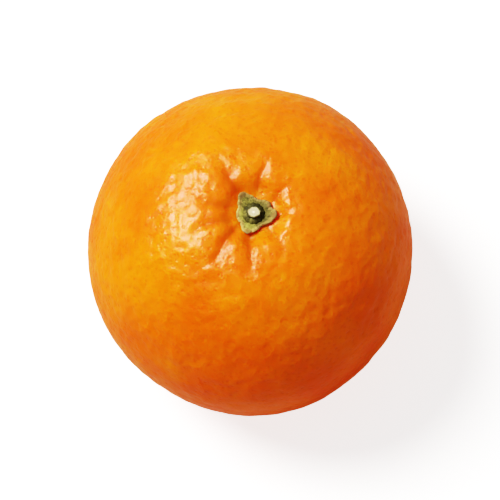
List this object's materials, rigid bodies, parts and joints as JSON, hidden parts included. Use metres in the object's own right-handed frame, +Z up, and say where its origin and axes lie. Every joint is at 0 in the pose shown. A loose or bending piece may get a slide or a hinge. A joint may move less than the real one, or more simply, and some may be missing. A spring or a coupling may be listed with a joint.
{
  "type": "mandarin",
  "caption": "Whole unpeeled mandarin: an oblate citrus fruit with pebbled orange peel, creases round a stem-end hollow, a star-shaped calyx and a clipped stem stub.",
  "frame": {"origin": "on the surface that the fruit rests on, under the middle of its outline", "axes": "+Z up through the stem end; +X the side that the stem end leans to; +Y the longer of the two widths"},
  "size_m": [0.0614, 0.0626, 0.051],
  "materials": {
    "peel": "waxy orange peel, satin, pebbled, with fine oil-gland pits",
    "calyx": "dry olive-green sepals with brown edges, matt",
    "stem": "green bark round a pale clipped end, matt"
  },
  "bodies": {
    "root": {"fruit": "peel", "calyx": "calyx", "stem_stub": "stem"}
  },
  "joints": []
}
